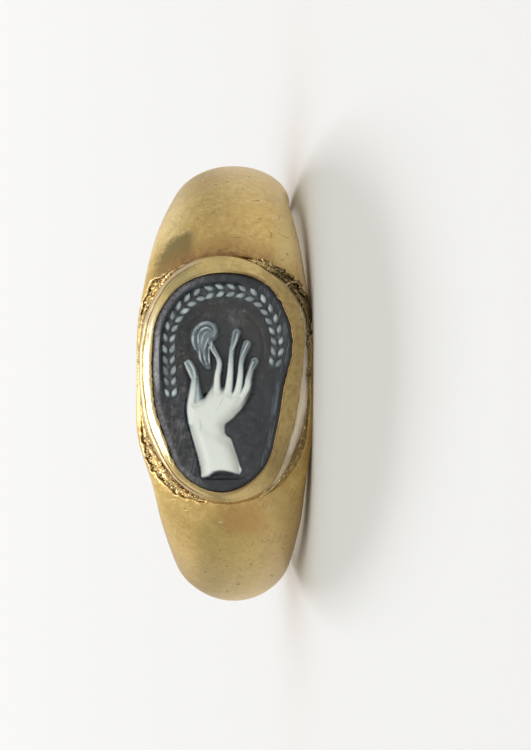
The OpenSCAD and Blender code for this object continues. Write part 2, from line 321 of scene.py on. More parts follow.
def place(mesh, name, finish):
    """Lays a mesh down where the frame has the ring, and returns it as an object."""
    mesh.vertices.foreach_set("co", laid(spots_of(mesh)).ravel())
    mesh.update()
    turn_outwards(mesh)
    mesh.shade_smooth()
    mesh.materials.clear()
    mesh.materials.append(finish)
    return linked(name, mesh)


def formed(name, points, faces, finish):
    """A new piece from points in ring millimetres and faces."""
    return place(meshed(name, points, [], faces), name, finish)


def mark(piece, name, values):
    """Keeps a number for each vertex, which a finish reads."""
    layer = piece.data.attributes.new(name, "FLOAT", "POINT")
    layer.data.foreach_set("value", np.ravel(values).astype(np.float32))


def operator(operation, swapped=False):
    """A method by which a reading is worked on with another one or a number."""
    def work(a, b):
        return a.math(operation, b, a) if swapped else a.math(operation, a, b)
    return work


class Reading:
    """A number from a node, which Python's operators work on."""

    def __init__(self, nodes, socket):
        self.nodes = nodes
        self.socket = socket

    def math(self, operation, *values, clamp=False):
        inputs = dict(enumerate(values))
        return self.nodes.read("ShaderNodeMath", 0, inputs, operation=operation, use_clamp=clamp)

    __add__, __radd__ = operator("ADD"), operator("ADD", True)
    __sub__, __rsub__ = operator("SUBTRACT"), operator("SUBTRACT", True)
    __mul__, __rmul__ = operator("MULTIPLY"), operator("MULTIPLY", True)
    __truediv__, __pow__ = operator("DIVIDE"), operator("POWER")
    most = operator("MAXIMUM")

    def within(self):
        return self.math("ADD", self, 0.0, clamp=True)

    def root(self):
        return self.math("SQRT", self)

    def ease(self, low, high):
        """0 at low, 1 at high and smooth between them, where low may be the greater."""
        inputs = {"Value": self, "From Min": low, "From Max": high}
        return self.nodes.read("ShaderNodeMapRange", 0, inputs, interpolation_type="SMOOTHSTEP")


class Nodes:
    """A node tree that is built step by step."""

    family = "ShaderNode"
    spot = None

    def node(self, kind, inputs=(), **settings):
        """Makes any node, of this tree's family or by its full name: its settings first, then
        the values or links of its sockets."""
        made = self.tree.nodes.new(kind if "Node" in kind else self.family + kind)
        for name, value in settings.items():
            setattr(made, name, value)
        for name, value in dict(inputs).items():
            if isinstance(value, Reading):
                value = value.socket
            elif isinstance(value, bpy.types.Node):
                value = value.outputs[0]
            if isinstance(value, bpy.types.NodeSocket):
                self.tree.links.new(value, made.inputs[name])
            elif value is not None:
                made.inputs[name].default_value = value
        return made

    def read(self, kind, output, inputs=(), **settings):
        """The number that a new node gives."""
        return Reading(self, self.node(kind, inputs, **settings).outputs[output])

    def clouds(self, scale, detail=2.0, roughness=0.5, distortion=0.0, vector=None):
        """Soft noise about 0.5, over the tree's own place if no other is given."""
        return self.read("ShaderNodeTexNoise", 0, {
            "Vector": self.spot if vector is None else vector, "Scale": scale,
            "Detail": detail, "Roughness": roughness, "Distortion": distortion,
        })


class Finish(Nodes):
    """A material, or the surroundings, whose colour is laid on in layers."""

    def __init__(self, owner, output="OutputMaterial"):
        owner.use_nodes = True
        self.owner = owner
        self.tree = owner.node_tree
        self.tree.nodes.clear()
        self.output = self.node(output)

    def ring_place(self):
        """Where a point of the surface is, in ring millimetres."""
        home = (0, LIFT * TILT_SIN - SHIFT * TILT_COS, -SHIFT * TILT_SIN - LIFT * TILT_COS)
        return self.node("Mapping", {
            "Vector": self.node("TexCoord").outputs["Object"], "Location": home,
            "Rotation": (TILT, 0, 0), "Scale": (1 / MM,) * 3,
        })

    def parts(self, vector):
        """The three numbers of a vector."""
        return [Reading(self, part) for part in self.node("SeparateXYZ", {0: vector}).outputs]

    def kept(self, name):
        """The number that each vertex was marked with."""
        return self.read("Attribute", "Fac", attribute_name=name)

    def hairlines(self, turn, fineness, low, high):
        """Fine broken lines, turned about the ring's y by some degrees, 1 along their middles."""
        drawn = self.node("Mapping", {
            "Vector": self.spot, "Scale": (HAIR_LENGTH, HAIR_LENGTH, 1 / fineness),
            "Rotation": (0.0, math.radians(turn), 0.0),
        }, vector_type="TEXTURE")
        return self.clouds(1.6, 3.0, 0.6, 0.2, drawn).ease(low, high)

    def cells(self, scale):
        """The distance from the nearest of many scattered points."""
        return self.read("TexVoronoi", "Distance", {"Vector": self.spot, "Scale": scale})

    def tint(self, colour, share):
        """Lays a colour over the finish by a share."""
        inputs = {0: share, 6: paint(self.colour), 7: paint(colour)}
        self.colour = self.node("Mix", inputs, data_type="RGBA").outputs[2]

    def ramp(self, value, stops):
        """Makes the finish's colour follow a value."""
        made = self.node("ValToRGB", {0: value})
        elements = made.color_ramp.elements
        while len(elements) < len(stops):
            elements.new(0.5)
        for stop, (position, colour) in zip(elements, stops):
            stop.position = position
            stop.color = paint(colour)
        self.colour = made.outputs[0]

    def blot(self, x, z, middle, reach, soft=0.35):
        """A soft-edged oval patch, 1 inside it."""
        off = ((x - middle[0]) / reach[0]) ** 2 + ((z - middle[1]) / reach[1]) ** 2
        return off.root().ease(1 + soft, 1 - soft)

    def stroke(self, x, z, start, end, width):
        """A scratch from one point to another, 1 along its middle."""
        dx, dz = end[0] - start[0], end[1] - start[1]
        far = dx * dx + dz * dz
        share = ((x - start[0]) * (dx / far) + (z - start[1]) * (dz / far)).within()
        off_x = x - start[0] - share * dx
        off_z = z - start[1] - share * dz
        return (off_x * off_x + off_z * off_z).root().ease(width, 0.2 * width)

    def bumped(self, height, depth, strength, under=None):
        """A normal that height tilts, its full range being depth millimetres."""
        return self.node("Bump", {
            "Strength": strength, "Distance": depth * MM, "Height": height, "Normal": under,
        })

    def coat(self, roughness, metal, normal=None, specular=0.5):
        """Ends the material in one shader of its colour."""
        return self.end("BsdfPrincipled", {
            "Base Color": paint(self.colour), "Roughness": roughness, "Metallic": metal,
            "Normal": normal, "Specular IOR Level": specular,
        })

    def end(self, shader, inputs):
        surface = self.node(shader, inputs).outputs[0]
        self.tree.links.new(surface, self.output.inputs["Surface"])
        return self.owner


def begun(name, colour=None):
    """A new material in its first colour, and the place on the ring in three numbers."""
    f = Finish(bpy.data.materials.new(name))
    f.colour = colour
    f.spot = f.ring_place()
    return f, *f.parts(f.spot)


def paint(colour):
    return (*colour, 1.0) if isinstance(colour, tuple) else colour


def strongest(masks):
    return reduce(Reading.most, masks)


GOLD = (0.64, 0.45, 0.165)
PALE_GOLD = (0.76, 0.58, 0.26)
OLIVE_GOLD = (0.43, 0.335, 0.12)
RED_FILM = (0.36, 0.2, 0.085)
ORANGE_GOLD = (0.52, 0.3, 0.1)
SOOT = (0.07, 0.05, 0.03)

# Scratches on the two shoulders as x, z of both ends and the width
SCRATCHES = listed("""
    8.41 1.55 8.05 0.91 0.035, 8.54 0.95 8.98 0.25 0.03, 7.6 0.47 7.24 -0.21 0.03,
    7.33 -0.27 7.52 -1.63 0.035, 8.34 -1.56 8.43 -1.88 0.045, 8.28 -2.58 8.65 -2.91 0.04,
    7.68 -2.68 7.4 -3.33 0.035, 7.63 -2.35 7.38 -2.38 0.04, 9.35 -1.29 9.37 -1.66 0.045,
    6.85 -0.62 6.64 -1.04 0.04
""")
# Small pits: x, z, radius
PITS = listed("""
    8.03 -0.46 0.06, 10.11 -0.73 0.07, 10.28 0.66 0.06, 6.45 -3.25 0.06, 6.23 -2.97 0.06,
    10.44 0.11 0.07, -6.72 2 0.07, -8.08 -3.14 0.06, -9.6 0.04 0.09, -9.57 -1.21 0.08,
    -10.6 -0.4 0.11, -11 0.27 0.1, -11.35 -0.57 0.09, -10.2 -2.19 0.08, -8.77 0.33 0.07,
    -9.95 1.24 0.09, -8.7 -2.88 0.06
""")


def worn_gold():
    """The hoop's gold: satin, scratched, stained round the collar and pitted, with painted shade
    and painted highlights on its flanks and in the channel.
    """
    f, x, y, z = begun("worn_gold", GOLD)
    outside = (x * x + y * y).root().ease(9.5, 10.2)
    bezel_side = y.ease(-1.5, -4.0) * outside

    wide = f.clouds(0.35, 3.0, 0.6)
    fine = f.clouds(2.6, 4.0, 0.65)
    specks = f.clouds(7.0, 3.0, 0.6)
    f.tint(OLIVE_GOLD, wide.ease(0.42, 0.75) * 0.35)
    f.tint(PALE_GOLD, fine.ease(0.46, 0.66) * 0.6)
    f.tint((0.5, 0.33, 0.12), fine.ease(0.46, 0.3) * 0.5)
    f.tint(ORANGE_GOLD, specks.ease(0.55, 0.72) * 0.4)
    f.tint(PALE_GOLD, specks.ease(0.45, 0.3) * 0.35)

    wavy_x = x + (fine - 0.5) * 0.5
    wavy_z = z + (wide - 0.5) * 0.6
    bent = (fine - 0.5) * 0.5
    shade_up = f.blot(x + bent, z + bent, (5.5, 1.2), (2.4, 2.4), 0.1)
    shade_up = shade_up * z.ease(1.3, 2.0) * x.ease(4.6, 5.4) * bezel_side
    shade_low = f.blot(wavy_x, wavy_z, (-9.0, -0.3), (2.2, 2.0), 0.25) * bezel_side
    f.tint((0.24, 0.19, 0.085), shade_up * 0.9)
    f.tint(OLIVE_GOLD, shade_low * 0.5)
    # Painted shade: the right flank of the lower shoulder, which faces the floor, is painted darker.
    painted_shade_low_right = x.ease(-5.0, -6.5) * z.ease(-1.0, -2.6) * bezel_side
    f.tint((0.5, 0.37, 0.17), painted_shade_low_right * 0.7)

    off = ((x / 6.55) ** 2 + (z / 4.85) ** 2).root()
    film_up = off.ease(1.22, 1.0) * x.ease(4.6, 6.0) * bezel_side
    film_low = f.blot(wavy_x, wavy_z, (-7.15, -0.9), (0.85, 1.3), 0.5) * bezel_side
    film_side = off.ease(1.14, 1.0) * z.ease(-1.2, -3.0) * x.ease(-1.5, -3.2) * bezel_side
    f.tint(RED_FILM, (film_up * (fine * 2.2 - 0.4)).within())
    rim_line = off.ease(1.03, 0.995) * x.ease(4.9, 5.9) * (fine * 1.6 - 0.2) * bezel_side
    f.tint((0.2, 0.11, 0.05), rim_line.within())
    f.tint((0.46, 0.27, 0.1), film_low * 0.7)
    f.tint(RED_FILM, film_side * 0.35)
    rust = f.clouds(0.9, 4.0, 0.7, 0.6).ease(0.56, 0.7) * specks.ease(0.4, 0.6)
    f.tint(RED_FILM, rust * bezel_side * 0.5)
    # Painted sheen: the right flank of the upper shoulder is painted lighter.
    painted_sheen_upper_right = z.ease(-2.2, -3.4) * x.ease(4.6, 7.0) * bezel_side
    f.tint((0.92, 0.76, 0.41), painted_sheen_upper_right * 0.8)
    # Painted light on the left flank: lighter on the upper shoulder as a painted highlight, and
    # darker on the lower shoulder.
    painted_light_left_flank = z.ease(1.4, 3.0) * bezel_side
    f.tint((0.85, 0.7, 0.4), painted_light_left_flank * x.ease(5.6, 7.4) * (1 - shade_up) * 0.4)
    f.tint((0.5, 0.355, 0.14), painted_light_left_flank * x.ease(-5.4, -7.0) * 0.4)
    # A painted highlight along the upper shoulder's right edge.
    painted_highlight_edge = f.stroke(x, z, (7.5, -3.62), (4.6, -4.12), 0.2) * bezel_side
    f.tint((0.8, 0.66, 0.48), painted_highlight_edge * 0.6)

    fleck_low = f.blot(x, z, (-7.38, 0.24), (0.05, 0.11), 0.6)
    fleck_up = f.blot(x, z, (8.42, -2.43), (0.08, 0.04), 0.6)
    f.tint((0.85, 0.7, 0.5), (fleck_low + fleck_up) * bezel_side * 0.5)

    bent_x = x + (f.clouds(1.1, 2.0) - 0.5) * 0.35
    bent_z = z + (f.clouds(1.3, 2.0) - 0.5) * 0.35
    broken = specks.ease(0.4, 0.56)
    strokes = strongest([
        f.stroke(bent_x, bent_z, s[:2], s[2:4], s[4]) for s in SCRATCHES
    ]) * bezel_side * broken
    pits = strongest([
        f.blot(bent_x, bent_z, p[:2], (0.55 * p[2], 0.85 * p[2]), 0.7) for p in PITS
    ]) * bezel_side
    sprinkle = f.cells(1.9).ease(0.1, 0.03) * f.clouds(0.8).ease(0.45, 0.6)
    hairs = f.hairlines(24, 7.0, 0.57, 0.68)
    hairs_across = f.hairlines(-38, 8.0, 0.58, 0.69)
    hairs_up = f.hairlines(78, 7.0, 0.6, 0.72)
    fine_lines = strongest([hairs, hairs_across, hairs_up]) * f.clouds(0.8).ease(0.4, 0.6)
    worn = strokes * 0.45 + pits * 0.45 + sprinkle * 0.35 + fine_lines * 0.24
    f.tint(SOOT, worn.within())

    seat = f.kept("seat")
    in_seat = seat.ease(-0.04, 0.09)
    dirt = in_seat * f.clouds(4.5, 3.0, 0.6).ease(0.62, 0.4)
    crack = f.blot(x, z, (3.4, -3.5), (2.9, 1.5), 0.4).most(f.blot(x, z, (-1.2, -4.4), (3.2, 0.7)))
    crack = crack * in_seat
    crumbs = f.cells(4.5)
    dirt = dirt * 0.6 + crack * (0.05 + crumbs.ease(0.2, 0.45) * 0.45)
    f.tint((0.2, 0.15, 0.07), dirt.within())
    # Painted glints: the crack's crumbs are painted pale in their middles.
    f.tint((0.85, 0.68, 0.4), crack * crumbs.ease(0.24, 0.08) * 0.8)
    ragged = strongest([
        f.blot(x, z, (3.9, -3.6), (2.2, 1.7), 0.3), f.blot(x, z, (3.6, 4.0), (2.2, 1.4), 0.3),
        f.blot(x, z, (-4.3, 3.6), (2.3, 1.7), 0.3),
    ]) * specks.ease(0.34, 0.48)
    torn_edge = strongest([
        f.stroke(x, z, a[:2], b[:2], 0.07) for a, b in zip(TEAR, TEAR[1:])
    ]) * bezel_side
    # Painted highlight: the seat's ragged lip and the torn edge are painted bright.
    lip_highlight = (seat.ease(-0.12, -0.04) * seat.ease(0.06, 0.0) * ragged).most(torn_edge)
    f.tint((0.95, 0.76, 0.46), lip_highlight * 0.7)
    # Painted shade in the crevice just inside the seat's ragged edge.
    crevice_shade = seat.ease(0.03, 0.08) * seat.ease(0.21, 0.13) * ragged
    f.tint((0.06, 0.04, 0.02), crevice_shade * 0.7)

    normal = f.bumped(specks * 0.6 + fine * 0.8 - fine_lines * 0.3, 0.04, 0.6)
    normal = f.bumped(crack * crumbs.ease(0.4, 0.05), 0.08, 1.0, normal)
    normal = f.bumped(1 - strokes * 0.8 - pits - sprinkle, 0.03, 0.8, normal)
    roughness = 0.38 + (fine - 0.5) * 0.2 + strokes * 0.15 + in_seat * 0.06
    return f.coat(roughness.within(), 1.0, normal)


def burnished_gold():
    """The collar's gold, rubbed smoother than the hoop, with painted shade and highlights."""
    f, x, y, z = begun("burnished_gold", PALE_GOLD)
    wide = f.clouds(0.55, 3.0, 0.6)
    fine = f.clouds(3.2, 4.0, 0.6)
    streaks = f.hairlines(20, 6.0, 0.35, 0.7)
    f.tint(OLIVE_GOLD, wide.ease(0.45, 0.72) * 0.4)
    f.tint(GOLD, fine.ease(0.4, 0.7) * 0.5)
    across = f.kept("across")
    round_it = f.node("CombineXYZ", {0: across * 5, 1: x * 0.3, 2: z * 0.3})
    rubbed = f.clouds(1.3, 3.0, 0.6, vector=round_it).ease(0.42, 0.62)
    # Painted shade: a dark olive patch on the upper left of the collar's face.
    painted_shade_upper_left = f.blot(x, z, (4.95, 2.2), (0.9, 1.3), 0.5)
    f.tint((0.28, 0.25, 0.13), painted_shade_upper_left * (0.45 + rubbed * 0.45))
    low_left = f.blot(x, z, (-5.2, 1.4), (1.6, 2.2), 0.6)
    f.tint((0.3, 0.235, 0.12), low_left * rubbed * 0.75)
    f.tint((0.45, 0.34, 0.15), rubbed * 0.3)
    # Painted shade: the right side is painted darker with darker brown mottling, and a patch low on
    # the right is darker still; the lower end is darker too.
    right = z.ease(-0.6, -3.0)
    f.tint((0.42, 0.31, 0.14), right * 0.6)
    f.tint((0.34, 0.23, 0.1), right * fine.ease(0.42, 0.6) * 0.4)
    low_right = f.blot(x + wide, z, (-4.0, -3.2), (1.4, 0.9), 0.7)
    f.tint((0.2, 0.15, 0.075), low_right * 0.4)
    f.tint((0.5, 0.37, 0.165), x.ease(-4.4, -5.6) * 0.7)

    left = z.ease(0.6, 1.8)
    brow = across.ease(0.8, 0.86) * left
    f.tint((0.56, 0.44, 0.32), brow * 0.75)
    # A painted highlight on the inner part of the collar's face on the left.
    painted_highlight_left = across.ease(0.1, 0.2) * across.ease(0.72, 0.64) * left * x.ease(4.4, 2.8)
    f.tint((0.97, 0.89, 0.62), painted_highlight_left * x.ease(-4.6, -3.2) * 0.6)
    # A groove made only by bump, with painted shade in it.
    shaded_groove = across.ease(0.66, 0.73) * across.ease(0.83, 0.77) * left
    f.tint((0.17, 0.135, 0.065), shaded_groove * (0.35 + fine * 0.5))
    # Painted reflection: the outer wall on the right is painted pale, less so towards the upper end.
    outer_wall = y.ease(-12.12, -12.02) * z.ease(-1.6, -2.8)
    wall_sheen = (0.6 + wide * 0.8) * (1 - x.ease(2.0, 4.5) * 0.5)
    f.tint((0.96, 0.87, 0.72), (outer_wall * wall_sheen).within())
    foot = y.ease(-11.6, -11.25)
    f.tint(RED_FILM, foot * 0.6)
    grime = f.clouds(5.0, 2.0, 0.5).ease(0.66, 0.76)
    f.tint(SOOT, grime * 0.45)

    inner = f.kept("inner") * z.ease(0.6, -1.2)
    f.tint((0.2, 0.13, 0.055), inner * 0.85)

    normal = f.bumped(streaks * 0.4 + fine * 0.6 + rubbed * 0.5, 0.016, 0.5)
    normal = f.bumped(1 - shaded_groove, 0.05, 0.6, normal)
    roughness = (0.26 + (fine - 0.5) * 0.16 + foot * 0.12 + outer_wall * 0.15 + inner * 0.25
                 + brow * 0.15)
    return f.coat(roughness.within(), 1 - outer_wall * 0.4, normal)


def grainy_gold():
    """Solder and torn gold in the channel round the collar, with painted shade on the right."""
    f, _, _, z = begun("grainy_gold", (0.85, 0.66, 0.33))
    fine = f.clouds(3.0, 4.0, 0.65)
    f.tint((0.22, 0.155, 0.07), fine.ease(0.48, 0.64) * 0.8)
    # Painted shade: the right side is painted darker, and darker still between the cells.
    right = z.ease(-1.4, -3.0)
    f.tint((0.27, 0.21, 0.1), right * 0.6)
    f.tint((0.1, 0.07, 0.035), right * f.cells(4.5).ease(0.2, 0.4) * 0.6)
    normal = f.bumped(f.clouds(9.0, 3.0, 0.6), 0.06, 0.7)
    roughness = 0.2 + fine * 0.25
    return f.coat(roughness.within(), 1.0, normal)


def layered_stone():
    """Dark polished stone whose milky upper layer is left where the relief stands high, with a
    painted sheen on the left rim and painted shade along the right edge.
    """
    f, x, _, z = begun("layered_stone")
    pale = f.kept("pale")
    cloudy = f.clouds(1.1, 3.0, 0.55)
    fine = f.clouds(6.0, 3.0, 0.6)
    pale = (pale + (fine - 0.5) * 0.08 * pale.ease(0.05, 0.3)).within()
    f.ramp(pale, [
        (0.0, (0.022, 0.0245, 0.031)), (0.12, (0.047, 0.053, 0.061)), (0.3, (0.11, 0.13, 0.145)),
        (0.5, (0.24, 0.29, 0.315)), (0.72, (0.5, 0.58, 0.595)), (1.0, (0.85, 0.905, 0.86)),
    ])
    ground = pale.ease(0.2, 0.02)
    warm = f.blot(x, z, (1.6, 0.0), (2.6, 2.3), 0.3) * ground
    f.tint((0.06, 0.052, 0.046), warm * (0.2 + cloudy * 0.5))
    left_edge = f.blot(x, z, (0.4, 2.15), (1.3, 0.3), 0.5) * fine.ease(0.52, 0.66) * ground
    f.tint((0.2, 0.17, 0.15), left_edge * 0.6)
    haze_patches = f.clouds(2.4, 4.0, 0.65, 0.4)
    haze = haze_patches.ease(0.5, 0.75) * ground * z.ease(-2.2, -0.6)
    f.tint((0.13, 0.14, 0.15), haze * 0.5)
    inset = f.kept("inset")
    # Painted sheen along the stone's rim on the left.
    painted_sheen_left_rim = inset.ease(0.36, 0.22) * z.ease(0.4, 2.2)
    f.tint((0.24, 0.24, 0.28), painted_sheen_left_rim * (0.2 + fine.ease(0.35, 0.65) * 0.6))
    scraped = f.hairlines(12, 8.0, 0.46, 0.62) * inset.ease(0.14, 0.2) * inset.ease(0.6, 0.3)
    f.tint((0.14, 0.18, 0.215), scraped * z.ease(-1.4, -2.2) * 0.7)
    # Painted shade along the stone's right edge beside the gold.
    shaded_right_edge = inset.ease(0.18, 0.1) * z.ease(0.5, -1.5)
    f.tint((0.01, 0.012, 0.018), shaded_right_edge * 0.7)
    crease = f.stroke(x, z, (-0.75, -0.16), (-1.55, 0.3), 0.035) * pale.ease(0.7, 0.9)
    f.tint((0.5, 0.42, 0.3), crease * fine.ease(0.35, 0.6) * 0.6)

    streaks = f.hairlines(8, 5.0, 0.36, 0.78) * haze_patches.ease(0.35, 0.62)
    brushed = streaks * ground * z.ease(0.6, 1.6) * x.ease(0.5, -1.0)
    f.tint((0.19, 0.18, 0.185), brushed)
    normal = f.bumped(streaks * ground + fine * 0.4, 0.02, 0.5)
    roughness = 0.24 + (cloudy - 0.5) * 0.12 + pale * 0.2
    return f.coat(roughness.within(), 0.0, normal, 0.5 - pale * 0.25)


def seat_floor(x, fill=0.0):
    """y of the sunken seat's floor, which is curved with the hoop."""
    return -np.sqrt(np.maximum((FINGER_R + SEAT_RISE + fill) ** 2 - x**2, 1.0))


def filled(degrees):
    """How far solder has filled the channel over the seat's floor."""
    ends = in_sector(degrees, 4, 30, 16) + in_sector(degrees, 180, 38, 20)
    low_right = in_sector(degrees, 224, 22, 20)
    crack_top = in_sector(degrees, 325, 14, 14)
    return (0.34 + 0.3 * torn(degrees) + 0.5 * low_right + 0.6 * crack_top
            + 1.3 * np.clip(ends, 0, 1))


def torn(degrees):
    """How rough the channel is at an angle of the oval: rough at both pockets on the left,
    at the crack on the upper right and, more finely, along the right side."""
    return (in_sector(degrees, 52, 26) + in_sector(degrees, 146, 30)
            + 0.8 * in_sector(degrees, 318, 28) + 0.5 * in_sector(degrees, 275, 22)).clip(0, 1)


def make_hoop(finish):
    """The whole hoop in one skin, with the sunken seat and the stone's pocket let into it."""
    turn = np.concatenate([np.arange(-40, 40, 0.25), np.arange(40, 320, 1.0)])
    a = (turn + 180) % 360 - 180
    off = np.abs(a)
    crown = FINGER_R + along(HOOP, CROWN, off)[:, None]
    wall = FINGER_R + along(HOOP, WALL, off)[:, None]
    half = np.where(a >= 0, along(HOOP, UPPER, off), along(HOOP, LOWER, off))[:, None]
    lean = np.where(a >= 0, 0, along(HOOP, LEAN, off))[:, None]

    t = np.radians(np.linspace(-90, 90, 101))
    down = np.linspace(0, 1, 8)[1:]
    q = np.radians(np.linspace(0, 90, 6))[1:]
    through = np.linspace(1, -1, 15)[1:-1]
    one = np.ones_like(half)
    rim = half - (wall - RIM_R) * SIDE_DRAW
    side_r = np.hstack([mix(wall, RIM_R, down), one * (RIM_R - RIM_BEVEL * np.sin(q))])
    side_z = np.hstack([mix(half, rim, down), rim - RIM_BEVEL * (1 - np.cos(q))])
    r = np.hstack([
        wall + (crown - wall) * np.cos(t), side_r, FINGER_R * one * np.ones_like(through),
        side_r[:, ::-1],
    ])
    z = np.hstack([
        half * np.sin(t), side_z, (rim - RIM_BEVEL) * through, -side_z[:, ::-1],
    ]) - lean
    from_bezel = np.radians(a)[:, None]
    points = np.stack([r * np.sin(from_bezel), -r * np.cos(from_bezel), z], -1)

    back = len(t)
    skin = points[:, :back]
    skin[..., :2] *= (1 + 0.0016 * lumps(skin, 2.6, 2, 3.0) * np.cos(t))[..., None]
    x, y, z = skin[..., 0], skin[..., 1], skin[..., 2]
    angle = np.degrees(np.arctan2(z, x))
    reach = np.hypot(x, z)
    bezel = y < -6
    rag = torn(angle)
    near = bezel & (reach < 8)
    wobble = np.zeros_like(x)
    wobble[near] = lumps(skin[near], 0.35, 3, 1.0)
    corner = 0.2 * in_sector(angle, 36, 3, 6)
    seat_edge = oval(SEAT, angle) + corner + rag * wobble * 0.16
    sunk = ease(seat_edge - reach, -0.04, 0.09) * bezel
    lip = rag * bell(reach - seat_edge - 0.1, 0.09) * bezel
    grains = np.zeros_like(x)
    floor = near & (sunk > 0.02)
    grains[floor] = grit(skin[floor], 0.2, 2.0) * 0.6 + grit(skin[floor], 0.1, 5.0) * 0.4
    depth = seat_floor(x, filled(angle)) - (0.06 + 0.16 * rag) * grains - 0.1 * rag * wobble
    shallow = y + 0.12 - (0.04 + 0.08 * rag) * grains - 0.06 * rag * wobble
    lowered = mix(y, np.maximum(shallow, depth), sunk)
    pocket = ease(oval(STONE, angle) + 0.2 - reach, -0.05, 0.05) * bezel
    lowered = mix(lowered, np.maximum(lowered, -(FINGER_R + BED_RISE)), pocket)
    _, aside, _ = ridge(x, z, TEAR)
    tear = np.clip(1 - aside**2, 0, 1) * (1 + wobble) * bezel
    crack_lip = 1 + 0.9 * in_sector(angle, 328, 18)
    crevice = bell(seat_edge - reach - 0.1, 0.06) * rag * bezel
    lowered = lowered + 0.2 * crevice * (angle > 0)
    skin[..., 1] = lowered - 0.05 * lip * crack_lip * (0.6 + wobble) - 0.4 * tear

    piece = formed("hoop", points, woven(*points.shape[:2], True, True), finish)
    inside_seat = np.full(points.shape[:2], -1.0)
    inside_seat[:, :back] = np.where(bezel, np.clip(seat_edge - reach, -1, 1), -1)
    mark(piece, "seat", inside_seat)
    return piece


def make_collar(finish):
    """The oval collar whose lip is pressed over the stone's edge."""
    degrees = np.arange(0, 360, 0.5)
    a = np.radians(degrees)
    ring = around(5, 0, a)
    ragged = lumps(ring, 0.3, 3, 4.0)
    burr = in_sector(degrees, 125, 40, 30) + 0.7 * in_sector(degrees, 300, 40, 20)
    stone = oval(STONE, degrees) + 0.02
    s = stone + 0.05 * ragged * (0.12 + burr)
    e = oval(EDGE, degrees) + 0.03 * lumps(ring, 0.9, 2, 8.0)
    f = oval(FLARE, degrees)
    foot = -seat_floor((e + f) * np.cos(a)) - FINGER_R - 0.35
    lip = LIP_RISE + 0.03 * ragged * (0.12 + burr)
    edge = EDGE_RISE + 0.03 * lumps(ring, 1.3, 2, 6.0)

    rows = [(s, foot), (s, mix(foot, lip, 0.5)), (s, lip - 0.2), (s, lip - 0.06),
            (s + 0.05, lip), (mix(s, stone, 0.4) + 0.13, lip)]
    rows += [
        (mix(stone + 0.2, e - 0.1, q), mix(LIP_RISE - 0.01, edge + 0.02, q))
        for q in (0, 0.12, 0.35, 0.6, 0.85, 1)
    ]
    rows += [
        (e - 0.03, edge - 0.01), (e, edge - 0.06), (e + 0.15 * f, edge - 0.22),
        (e + 0.5 * f, edge - 0.42), (e + 0.9 * f, edge - 0.7), (e + f, edge - 0.95),
        (e + f, foot + 0.1), (e + f, foot),
    ]
    radius = rounded(np.array([r for r, _ in rows]), 2)
    rise = rounded(np.array([h for _, h in rows]), 2)
    points = around(radius, -FINGER_R - rise, a)
    hammered = lumps(points, 1.1, 2, 7.0) * 0.03
    points[..., 1] -= hammered * (points[..., 1] < -11.9)
    piece = formed("collar", points, woven(*points.shape[:2], True, True), finish)
    mark(piece, "inner", ease(radius - stone, 0.16, 0.1))
    mark(piece, "across", (radius - stone) / (e - stone))
    return piece


def rounded(rows, times):
    """A closed row of values with its corners cut, so that it turns smoothly inside them."""
    for _ in range(times):
        after = np.roll(rows, -1, axis=0)
        rows = np.stack([mix(rows, after, 0.25), mix(rows, after, 0.75)], 1)
        rows = rows.reshape(-1, rows.shape[-1])
    return rows


def smoothed(rows, steps):
    """A closed row of values with more rows between them, running smoothly through them."""
    rows = np.array(rows)
    return np.array([
        spline(*(rows[(i + j) % len(rows)] for j in (-1, 0, 1, 2)), s)
        for i in range(len(rows)) for s in np.arange(steps) / steps
    ])


def smooth_path(rows, steps):
    """An open path of rows with more rows between them."""
    rows = np.array(rows)
    padded = np.vstack([2 * rows[0] - rows[1], rows, 2 * rows[-1] - rows[-2]])
    found = [spline(*padded[i:i + 4], s)
             for i in range(len(rows) - 1) for s in np.arange(steps) / steps]
    return np.array(found + [rows[-1]])


def beside(x, z, start, end):
    """The share of the way between two points that is nearest, and the distance from it."""
    dx, dz = end[0] - start[0], end[1] - start[1]
    off_x, off_z = x - start[0], z - start[1]
    share = np.clip((off_x * dx + off_z * dz) / (dx * dx + dz * dz), 0, 1)
    return share, np.hypot(off_x - share * dx, off_z - share * dz)


def depth_inside(x, z, outline):
    """Distance to a closed outline, positive inside it."""
    nearest = np.full(x.shape, np.inf)
    inside = np.zeros(x.shape, bool)
    for a, b in zip(outline, np.roll(outline, -1, axis=0)):
        nearest = np.minimum(nearest, beside(x, z, a, b)[1])
        crosses = (a[1] > z) != (b[1] > z)
        rise = b[1] - a[1] or 1.0
        inside ^= crosses & (x < a[0] + (z - a[1]) * (b[0] - a[0]) / rise)
    return np.where(inside, nearest, -nearest)


def ridge(x, z, rows):
    """A rounded ridge along a path: its rise, the distance from its middle as a share of
    the half width, and the share of the way along it."""
    path = smooth_path(rows, PATH_STEPS)
    rise = np.full(x.shape, -9.0)
    aside = np.full(x.shape, 9.0)
    way = np.zeros(x.shape)
    for i, (a, b) in enumerate(zip(path, path[1:])):
        share, off = beside(x, z, a, b)
        half = mix(a[2], b[2], share)
        off = off / half
        round_top = np.sqrt(np.clip(1 - off**2, 0, 1))
        here = mix(a[3], b[3], share) - half * 1.1 * (1 - round_top) - 3.0 * np.clip(off - 0.98, 0, 9)
        better = here > rise
        rise = np.where(better, here, rise)
        aside = np.where(better, off, aside)
        way = np.where(better, (i + share) / (len(path) - 1), way)
    return rise, aside, way


def joined_softly(a, b, reach):
    """The higher of two surfaces with a rounded corner where they meet."""
    share = np.clip(0.5 + 0.5 * (a - b) / reach, 0, 1)
    return mix(b, a, share) + reach * share * (1 - share)


